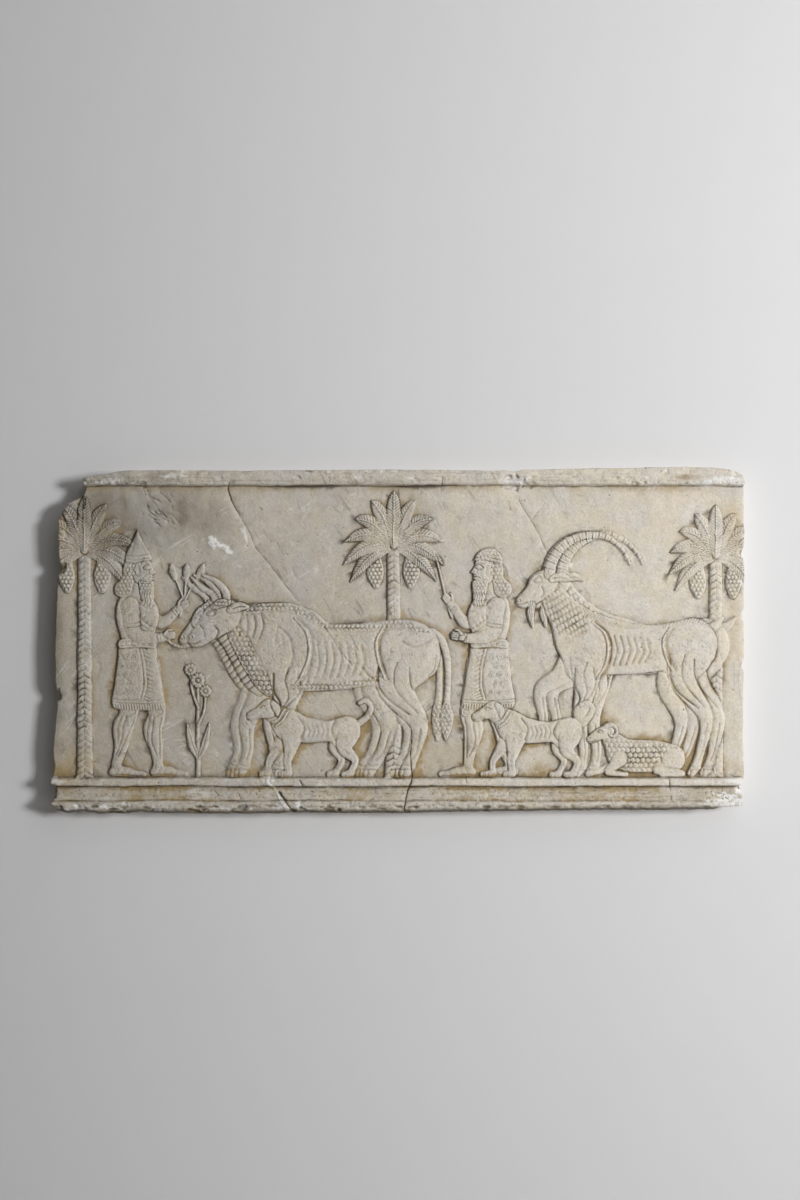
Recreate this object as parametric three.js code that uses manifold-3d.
// Plaster wall relief: a slab with a moulding above and below, and a frieze of people, beasts and
// palms cast in one with it. Millimetres, +X to the viewer's right, +Z up, -Y out of the wall.
// The origin is the middle of the flat back, where the slab meets the wall.
import * as THREE from 'three';
import { mergeVertices } from 'three/addons/utils/BufferGeometryUtils.js';
import Module from 'manifold-3d';

const wasm = await Module();
wasm.setup();

// Slab
const WIDTH = 1200;
const HALF = WIDTH / 2;
const TOP = 300;
const BOTTOM = -301;
const FIELD_DEPTH = 42;

// The slab's worn edge: places along each side, and how far the edge has drawn in from the slab's
// full size there. A corner is lost at upper left, and the foot steps up to the right.
const LEFT_SIDE = [
  [-295, 9], [-283, 0], [-269, 7], [-253, 7], [-247, 1], [-217, 5], [-112, 10], [-76, 6], [106, 10],
  [126, 18], [140, 13], [205, 12], [236, 28], [251, 55], [278, 56],
];
const HEAD_SIDE = [
  [-540, 19], [-501, 12], [-460, 6], [190, 7], [202, 10], [214, 6], [330, 3], [505, 0], [568, 4], [586, 8],
];
const RIGHT_SIDE = [
  [-287, 5], [-272, 2], [-254, 8], [-246, 2], [-228, 0], [-44, 4], [-30, 0], [134, 1], [148, 5], [166, 0],
  [274, 1], [285, 4],
];
const FOOT_SIDE = [
  [-588, 4], [-520, 0], [-446, 4], [-420, 1], [-206, 0], [-188, 2], [20, 1], [250, 5], [520, 7], [562, 12],
  [594, 13],
];

// Moulding above the field: a face that leans out to a nose, then falls back to the rim
const HEAD_LINE = 267;
const HEAD_NOSE = 281.5;
const HEAD_RISE = 17;
const HEAD_LEAN = 5;
const HEAD_FALL = 4;
const HEAD_OVERRUN = 3;

// Mouldings below the field: a fillet the figures stand on, a sunk band and a bead turned under
const GROUND = -238;
const FILLET_FOOT = -252.5;
const FILLET_RISE = 13.5;
const BAND_FOOT = -277.5;
const BAND_RISE = 4.5;
const BAND_FLARE = 5;
const FOOT_RISE = 14.5;
const FOOT_FACE = 6.5;
const FOOT_STEPS = 5;
const SOFT_CORNER = 2.5;
const OVERRUN = 20;

// Carving
const BURIED = 3;
const CLEAR_OF_CARVING = 60;
const EDGE = 2.5;
const CAP_STEPS = 3;
const FAR = 4.5;
const BODY = 6.5;
const NEAR = 7.5;
const ON_TOP = 8.5;
const PAIR_LIFT = -1.5;

// Frieze: where each figure stands along the ground
const PALMS = [
  { x: -543, crown: 392, reach: 98 },
  { x: -8, crown: 400, reach: 96 },
  { x: 550, crown: 382, reach: 90 },
];
const FRONDS = 11;
const KEEPER_X = -452;
const HERDSMAN_X = 158;
const BULL_X = -120;
const BULL_PAIR_STEP = -15;
const IBEX_X = 398;
const IBEX_PAIR_STEP = 22;
const HORN_SWEEP = 72;
const RAM = { x: 424, size: 0.92 };
const HOUNDS = [{ x: -148, size: 1.15 }, { x: 238, size: 1.12 }];
const FLOWER = { x: -346, height: 168 };

// Turns a closed geometry into a solid.
function solid(geometry) {
  geometry.deleteAttribute('normal');
  geometry.deleteAttribute('uv');
  const merged = mergeVertices(geometry, 1e-4);
  return new wasm.Manifold(new wasm.Mesh({
    numProp: 3,
    vertProperties: new Float32Array(merged.attributes.position.array),
    triVerts: new Uint32Array(merged.index.array),
  }));
}

// Raises an outline, drawn in x and z, out of the wall.
function raise(outline, from, to, bevel = 0) {
  const shape = new THREE.Shape(outline.map(([x, z]) => new THREE.Vector2(x, z)));
  const geometry = new THREE.ExtrudeGeometry(shape, {
    depth: to - from - bevel,
    bevelEnabled: bevel > 0,
    bevelThickness: bevel,
    bevelSize: bevel,
    bevelOffset: -bevel,
    bevelSegments: 1,
  });
  geometry.translate(0, 0, from);
  geometry.rotateX(Math.PI / 2);
  return solid(geometry);
}

function unite(solids) {
  return solids.reduce((whole, next) => whole.add(next));
}

// A curve through points of x, z and radius.
function smooth(points, steps) {
  if (points.length < 3) return points;
  const curve = new THREE.CatmullRomCurve3(points.map((p) => new THREE.Vector3(...p)), false, 'catmullrom');
  return curve.getPoints(steps).map((p) => [p.x, p.y, p.z]);
}

// Outline of a limb: both sides of a curve at its own radius, closed by round ends.
function limbOutline(points, steps) {
  const path = smooth(points, steps);
  const last = path.length - 1;
  const heading = path.map((p, i) => {
    const a = path[Math.max(i - 1, 0)];
    const b = path[Math.min(i + 1, last)];
    return Math.atan2(b[1] - a[1], b[0] - a[0]);
  });
  const at = (i, turn) => [
    path[i][0] + path[i][2] * Math.cos(heading[i] + turn),
    path[i][1] + path[i][2] * Math.sin(heading[i] + turn),
  ];
  const quarter = Math.PI / 2;
  const outline = [];
  for (let i = 0; i <= last; i += 1) outline.push(at(i, -quarter));
  for (let k = 1; k < CAP_STEPS; k += 1) outline.push(at(last, -quarter + (k * Math.PI) / CAP_STEPS));
  for (let i = last; i >= 0; i -= 1) outline.push(at(i, quarter));
  for (let k = 1; k < CAP_STEPS; k += 1) outline.push(at(0, quarter + (k * Math.PI) / CAP_STEPS));
  return outline;
}

// A figure's own frame: x runs forwards, z up from the ground, and everything takes the figure's size.
class Figure {
  constructor(x, { facesLeft = false, size = 1, lift = 0 } = {}) {
    this.x = x;
    this.size = size;
    this.side = facesLeft ? -1 : 1;
    this.lift = lift;
    this.solids = [];
  }

  spot([x, z, ...rest]) {
    return [this.x + this.side * this.size * x, GROUND + this.size * z, ...rest.map((r) => r * this.size)];
  }

  add(outline, level, bevel) {
    this.solids.push(raise(outline, FIELD_DEPTH - BURIED, FIELD_DEPTH + level + this.lift, bevel));
  }

  limb(points, level, steps = 5, bevel = 0) {
    const spots = points.map((p) => this.spot(p));
    const thinnest = Math.min(...spots.map((p) => p[2]));
    this.add(limbOutline(spots, steps), level, Math.min(bevel, 0.6 * thinnest));
  }

  plate(points, level, bevel = 0) {
    this.add(points.map((p) => this.spot(p)), level, bevel);
  }

  // A closed outline rounded by a curve through its points.
  form(points, level, steps = 2 * points.length, bevel = 0) {
    const corners = points.map((p) => new THREE.Vector3(...this.spot(p), 0));
    const curve = new THREE.CatmullRomCurve3(corners, true, 'catmullrom');
    this.add(curve.getPoints(steps).slice(0, -1).map((p) => [p.x, p.y]), level, bevel);
  }
}

function palm({ x, crown, reach }) {
  const tree = new Figure(x);
  tree.limb([[0, -4, 17], [0, 22, 14], [0, crown * 0.5, 12.5], [0, crown, 11]], BODY, 3);
  for (const side of [-1, 1]) {
    tree.limb([[side * 6, crown - 2, 4], [side * 29, crown - 14, 8], [side * 31, crown - 44, 15],
      [side * 30, crown - 68, 6]], BODY, 4);
  }
  for (let k = 0; k < FRONDS; k += 1) {
    const lean = (k / (FRONDS - 1)) * 2 - 1;
    const slope = THREE.MathUtils.degToRad(90 - lean * 118);
    const length = reach * (1 - 0.12 * Math.abs(lean));
    const droop = 34 * Math.abs(lean) * (1.15 - 0.3 * Math.abs(lean));
    const spine = [0, 0.33, 0.66, 1].map((s) => [
      Math.cos(slope) * length * s,
      crown + Math.sin(slope) * length * s + 10 * Math.sin(Math.PI * s) - droop * s * s,
      1 + 11.5 * Math.sin(Math.PI * (0.07 + 0.93 * s)),
    ]);
    tree.limb(spine, BODY - 0.8 * Math.abs(lean), 4);
  }
  return tree.solids;
}

// One leg of a person, from the thigh to the toes.
function personLeg(figure, hip, knee, ankle, level) {
  const calf = [knee[0] - 9, knee[1] - 31, 17.5];
  const shin = [(knee[0] + ankle[0]) / 2 - 4, 52, 11.5];
  figure.limb([hip, knee, calf, shin, ankle], level, 6);
  const heel = ankle[0] - 5;
  figure.limb([[heel, 8, 8], [heel + 22, 9, 9], [heel + 54, 5.5, 5]], level, 3);
}

// A person in a fringed tunic, seen from the side, with the far arm out and the near arm across.
function person(x, facesLeft, capped, farHand) {
  const figure = new Figure(x, { facesLeft });
  personLeg(figure, [14, 195, 26], [34, 116, 16], [36, 22, 8.5], FAR);
  personLeg(figure, [-8, 195, 28], [-14, 116, 17], [-36, 24, 9], BODY - 1);
  figure.limb([[10, 296, 14], [40, 268, 11], [farHand[0], farHand[1], 7.5]], FAR, 5);
  const wrist = [farHand[0] + 8, farHand[1] + 9];
  figure.limb([[...wrist, 9], [wrist[0] + 8, wrist[1] + 10, 6]], FAR + 0.5, 1);
  figure.form([[-27, 232], [-34, 205], [-44, 124], [-20, 117], [10, 116], [46, 120], [36, 200], [28, 232]],
    BODY, 14, EDGE);
  figure.form([[-24, 316], [-36, 296], [-36, 268], [-28, 226], [28, 226], [38, 282], [30, 304], [14, 318]],
    BODY, 14, EDGE);
  figure.plate([[-30, 240], [-31, 223], [31, 223], [30, 240]], NEAR);
  figure.limb([[-3, 312, 13], [2, 345, 12]], BODY, 1);
  figure.form([[4, 388], [-18, 382], [-26, 346], [-38, 330], [-36, 315], [-14, 314], [0, 352]], BODY + 0.5);
  figure.form([[-6, 382], [12, 384], [23, 373], [30, 355], [27, 345], [20, 334], [0, 336]], BODY, 14);
  figure.form([[4, 350], [20, 346], [28, 334], [28, 300], [14, 295], [4, 320]], NEAR, 12);
  if (capped) {
    figure.plate([[-20, 374], [-17, 392], [-7, 412], [1, 430], [10, 408], [20, 392], [25, 377], [2, 371]],
      NEAR);
  } else {
    figure.form([[-22, 366], [-20, 386], [0, 397], [20, 388], [25, 375], [0, 372]], NEAR, 12);
  }
  figure.limb([[-12, 296, 16], [-4, 250, 13], [34, 242, 9]], ON_TOP, 5);
  figure.limb([[42, 243, 8], [58, 245, 6]], ON_TOP, 1);
  return figure.solids;
}

// A beast's leg and hoof. The last point is the fetlock.
function hoofedLeg(figure, joints, level, hoof = [joints.at(-1)[0] + 8, 7, joints.at(-1)[2]]) {
  figure.limb(joints, level, 7);
  const fetlock = joints.at(-1);
  figure.limb([fetlock, hoof], level, 1);
}

// A bull. Of the far one of a pair only what the near one leaves uncovered is carved.
function bull(x, behind) {
  const beast = new Figure(x, { facesLeft: true, lift: behind ? PAIR_LIFT : 0 });
  hoofedLeg(beast, [[-112, 196, 44], [-84, 152, 27], [-104, 92, 15], [-92, 44, 10], [-78, 22, 10]], FAR);
  hoofedLeg(beast, [[96, 196, 36], [118, 142, 22], [140, 96, 15], [140, 48, 9.5], [146, 22, 10]], FAR);
  beast.limb([[-178, 250, 9], [-196, 236, 7.5], [-206, 200, 6.5], [-204, 120, 7]], BODY, 5);
  beast.limb([[-204, 122, 8], [-205, 104, 12], [-203, 68, 3]], BODY, 3);
  beast.limb([[-150, 226, 36], [-132, 224, 50], [-70, 214, 54], [0, 208, 58], [64, 216, 66], [96, 222, 58]],
    BODY, 8, EDGE);
  beast.limb([[-142, 208, 50], [-112, 168, 30]], BODY, 1, EDGE);
  beast.limb([[40, 262, 30], [72, 276, 26], [104, 268, 34]], BODY, 3, EDGE);
  beast.limb([[98, 236, 52], [136, 256, 40], [168, 272, 29]], BODY, 3, EDGE);
  beast.form([[196, 248], [172, 206], [140, 152], [116, 142], [112, 176], [168, 248]], FAR, 9);
  beast.form([[176, 262], [157, 206], [124, 154], [84, 146], [112, 190], [158, 262]], BODY, 9);
  hoofedLeg(beast, [[-138, 206, 47], [-116, 156, 31], [-156, 96, 16.5], [-150, 46, 10.5], [-140, 22, 10.5]],
    NEAR);
  hoofedLeg(beast, [[70, 196, 40], [72, 146, 25], [84, 96, 16.5], [80, 48, 10], [84, 22, 10.5]], NEAR);
  beast.limb([[176, 284, 25], [198, 274, 21], [220, 250, 15.5], [231, 238, 13.5]], NEAR, 5, EDGE);
  beast.limb([[190, 300, 6], [204, 318, 6], [238, 346, 2.2]], BODY, 3);
  if (behind) return beast.solids;
  beast.limb([[176, 304, 7.5], [184, 326, 7], [218, 350, 2.4]], ON_TOP, 3);
  beast.limb([[170, 290, 6], [156, 296, 8.5], [140, 296, 3]], ON_TOP, 3);
  beast.limb([[58, 276, 2], [36, 232, 3.2], [62, 156, 2]], ON_TOP, 4, 1);
  beast.limb([[-94, 262, 2], [-82, 224, 3.2], [-98, 170, 2]], ON_TOP, 4, 1);
  return beast.solids;
}

// A wild goat with one foreleg raised.
function ibex(x, behind) {
  const beast = new Figure(x, { facesLeft: true, lift: behind ? PAIR_LIFT : 0 });
  hoofedLeg(beast, [[-92, 200, 32], [-70, 158, 20], [-92, 100, 12], [-80, 48, 8], [-66, 20, 8]], FAR);
  hoofedLeg(beast, [[92, 206, 26], [118, 176, 17], [152, 150, 12], [146, 98, 8], [158, 76, 8]],
    FAR, [162, 66, 8]);
  beast.limb([[-132, 254, 9], [-150, 262, 8], [-164, 276, 3]], BODY, 3);
  beast.limb([[-112, 236, 40], [-60, 226, 40], [0, 222, 44], [58, 232, 51], [84, 240, 44]], BODY, 7, EDGE);
  beast.limb([[-112, 222, 40], [-90, 184, 22]], BODY, 1, EDGE);
  beast.limb([[84, 250, 40], [112, 286, 29], [136, 330, 19]], BODY, 4, EDGE);
  hoofedLeg(beast, [[-112, 220, 40], [-96, 170, 24], [-134, 106, 13], [-126, 50, 8.5], [-118, 20, 8.5]], NEAR);
  hoofedLeg(beast, [[70, 208, 32], [74, 156, 19], [82, 104, 13], [76, 50, 8.5], [80, 20, 8.5]], NEAR);
  beast.limb([[140, 342, 20], [158, 334, 16], [184, 306, 10]], NEAR, 4, EDGE);
  beast.limb([[166, 300, 6], [168, 282, 6.5], [164, 262, 3]], BODY, 3);
  if (!behind) beast.limb([[132, 344, 5.5], [116, 348, 8], [100, 342, 2.6]], ON_TOP, 3);
  const horn = (cx, cz, last, widest, level) => {
    const turns = [0, 1, 2, 3, 4, 5, 6].map((k) => THREE.MathUtils.degToRad(4 + (k * (last - 4)) / 6));
    const sweep = turns.map((t, k) => [
      cx + HORN_SWEEP * Math.cos(t), cz + HORN_SWEEP * Math.sin(t), widest - k * 1.25]);
    beast.limb(sweep, level, 9);
  };
  if (!behind) horn(68, 350, 158, 9, BODY);
  horn(64, 348, 162, 10.5, ON_TOP);
  return beast.solids;
}

function hound({ x, size }) {
  const dog = new Figure(x, { facesLeft: true, size });
  const leg = (joints, level) => {
    dog.limb(joints, level, 4);
    const [px, , r] = joints.at(-1);
    dog.limb([[px, 6, r], [px + 11, 5, r]], level, 1);
  };
  leg([[-46, 66, 15], [-34, 46, 10], [-44, 26, 5.5], [-36, 8, 5]], BODY);
  leg([[40, 62, 14], [54, 42, 9], [66, 24, 5.5], [66, 8, 5]], BODY);
  dog.limb([[-64, 78, 6], [-82, 92, 5], [-86, 110, 4.4], [-70, 113, 3]], NEAR, 4);
  dog.limb([[-52, 74, 19], [-20, 70, 16], [12, 72, 20], [36, 76, 22]], NEAR, 4);
  dog.limb([[36, 82, 20], [54, 94, 15], [64, 100, 13]], NEAR, 2);
  leg([[-54, 66, 18], [-48, 44, 11], [-64, 26, 6], [-58, 8, 5.4]], NEAR + 1);
  leg([[30, 66, 17], [34, 40, 9.5], [38, 24, 6], [36, 8, 5.4]], NEAR + 1);
  dog.limb([[66, 104, 14], [80, 98, 9], [92, 93, 7]], NEAR + 1, 2);
  dog.limb([[60, 112, 4], [54, 104, 6], [53, 95, 3]], ON_TOP, 2, 1);
  return dog.solids;
}

// A ram lying with folded legs.
function ram({ x, size }) {
  const beast = new Figure(x, { facesLeft: true, size });
  beast.limb([[46, 26, 11], [80, 13, 7], [104, 7, 6]], FAR, 3);
  beast.limb([[-54, 36, 26], [-20, 40, 30], [18, 40, 31], [42, 44, 27]], BODY, 6, EDGE);
  beast.limb([[44, 52, 23], [60, 72, 17], [66, 84, 15]], BODY, 3, EDGE);
  beast.limb([[-58, 34, 21], [-38, 22, 15], [-26, 15, 9]], NEAR, 4);
  beast.limb([[-26, 13, 8], [-74, 9, 6]], NEAR, 1);
  beast.limb([[44, 36, 15], [56, 22, 10], [66, 12, 8]], NEAR, 3);
  beast.limb([[66, 9, 6.5], [32, 6, 5]], NEAR, 1);
  beast.limb([[68, 88, 13], [86, 80, 10], [98, 73, 7.5]], NEAR, 3);
  const curl = [0, 1, 2, 3, 4, 5, 6].map((k) => {
    const turn = 0.9 + 0.75 * k;
    const reach = 15 - 1.5 * k;
    return [60 + reach * Math.cos(turn), 86 + reach * Math.sin(turn), 4.8 - 0.4 * k];
  });
  beast.limb(curl, ON_TOP, 9);
  return beast.solids;
}

// Tall garden flower: a stem with leaves and a round head on each of three stalks.
function flower({ x, height }) {
  const plant = new Figure(x);
  plant.limb([[0, -2, 4.5], [-1, height / 2, 3.6], [0, height - 8, 3]], FAR, 3);
  for (const [side, from, to] of [[-1, 120, 176], [1, 90, 140]]) {
    plant.limb([[0, from, 2.8], [side * 10, (from + to) / 2, 2.8], [side * 13, to, 2.6]], FAR, 3, 1);
    plant.limb([[side * 13, to + 10, 11], [side * 13.5, to + 11, 11]], BODY, 1);
    plant.limb([[side * 2, 34, 3], [side * 12, 58, 7], [side * 19, 92, 2]], FAR, 3);
  }
  plant.limb([[0, height, 13], [0.5, height + 1, 13]], BODY, 1);
  return plant.solids;
}

// The slab's outline, once round from the foot of its left side.
function slabOutline() {
  const left = LEFT_SIDE.map(([z, inset]) => [-HALF + inset, z]);
  const head = HEAD_SIDE.map(([x, inset]) => [x, TOP - inset]);
  const right = RIGHT_SIDE.map(([z, inset]) => [HALF - inset, z]);
  const foot = FOOT_SIDE.map(([x, inset]) => [x, BOTTOM + inset]);
  return [...left, ...head, ...right.reverse(), ...foot.reverse()];
}

// A moulding's section, in height and rise from the field, run along the whole width.
function moulding(section) {
  const corners = section.map(([z, rise]) => new THREE.Vector2(-(FIELD_DEPTH + rise), z));
  const length = WIDTH + 2 * OVERRUN;
  const run = new THREE.ExtrudeGeometry(new THREE.Shape(corners), { depth: length, bevelEnabled: false });
  run.translate(0, 0, -length / 2);
  // Depth runs along +X, the section's own x along Y and its y along Z.
  run.applyMatrix4(new THREE.Matrix4().makeBasis(
    new THREE.Vector3(0, 1, 0), new THREE.Vector3(0, 0, 1), new THREE.Vector3(1, 0, 0)));
  return solid(run);
}

function headMoulding() {
  return moulding([
    [HEAD_LINE, -BURIED], [HEAD_LINE, HEAD_RISE - HEAD_LEAN], [HEAD_NOSE, HEAD_RISE],
    [TOP + HEAD_OVERRUN, HEAD_RISE - HEAD_FALL], [TOP + HEAD_OVERRUN, -BURIED],
  ]);
}

function fillet() {
  return moulding([
    [FILLET_FOOT, -BURIED], [FILLET_FOOT, FILLET_RISE - SOFT_CORNER], [FILLET_FOOT + SOFT_CORNER, FILLET_RISE],
    [GROUND - SOFT_CORNER, FILLET_RISE], [GROUND, FILLET_RISE - SOFT_CORNER], [GROUND, -BURIED],
  ]);
}

function band() {
  return moulding([
    [BAND_FOOT - 1, -BURIED], [BAND_FOOT - 1, BAND_RISE + BAND_FLARE],
    [(BAND_FOOT + FILLET_FOOT) / 2, BAND_RISE + BAND_FLARE / 3], [FILLET_FOOT + 1, BAND_RISE],
    [FILLET_FOOT + 1, -BURIED],
  ]);
}

// The bead at the foot: a short upright face, then a quarter round down to the slab's lower rim.
function footBead() {
  const turnFrom = BAND_FOOT - FOOT_FACE;
  const drop = turnFrom - BOTTOM;
  const under = [];
  for (let k = 0; k <= FOOT_STEPS; k += 1) {
    const t = (k * Math.PI) / 2 / FOOT_STEPS;
    under.push([turnFrom - drop * Math.sin(t), FOOT_RISE * Math.cos(t)]);
  }
  const lowest = under.at(-1)[0];
  return moulding([
    [BAND_FOOT, -BURIED], [BAND_FOOT, FOOT_RISE - SOFT_CORNER], [BAND_FOOT - SOFT_CORNER, FOOT_RISE],
    ...under, [lowest, -BURIED],
  ]);
}

function frieze() {
  return [
    ...PALMS.flatMap(palm),
    ...person(KEEPER_X, false, true, [72, 292]),
    ...bull(BULL_X + BULL_PAIR_STEP, true),
    ...bull(BULL_X, false),
    ...person(HERDSMAN_X, true, false, [66, 300]),
    ...ibex(IBEX_X + IBEX_PAIR_STEP, true),
    ...ibex(IBEX_X, false),
    ...ram(RAM),
    ...HOUNDS.flatMap(hound),
    ...flower(FLOWER),
  ];
}

function relief() {
  const outline = slabOutline();
  const slab = raise(outline, 0, FIELD_DEPTH);
  const reach = raise(outline, 1, FIELD_DEPTH + CLEAR_OF_CARVING);
  const carved = unite([headMoulding(), fillet(), band(), footBead(), ...frieze()]).intersect(reach);
  return slab.add(carved);
}

function toGeometry(manifold) {
  const { vertProperties, triVerts } = manifold.getMesh();
  const geometry = new THREE.BufferGeometry();
  geometry.setAttribute('position', new THREE.BufferAttribute(new Float32Array(vertProperties), 3));
  geometry.setIndex(new THREE.BufferAttribute(new Uint32Array(triVerts), 1));
  geometry.computeVertexNormals();
  return geometry;
}

const plaster = new THREE.MeshStandardMaterial({ color: 0xb3aa9a, roughness: 0.85, metalness: 0 });
const group = new THREE.Group();
const slabMesh = new THREE.Mesh(toGeometry(relief()), plaster);
slabMesh.name = 'relief_slab';
group.add(slabMesh);

export default group;
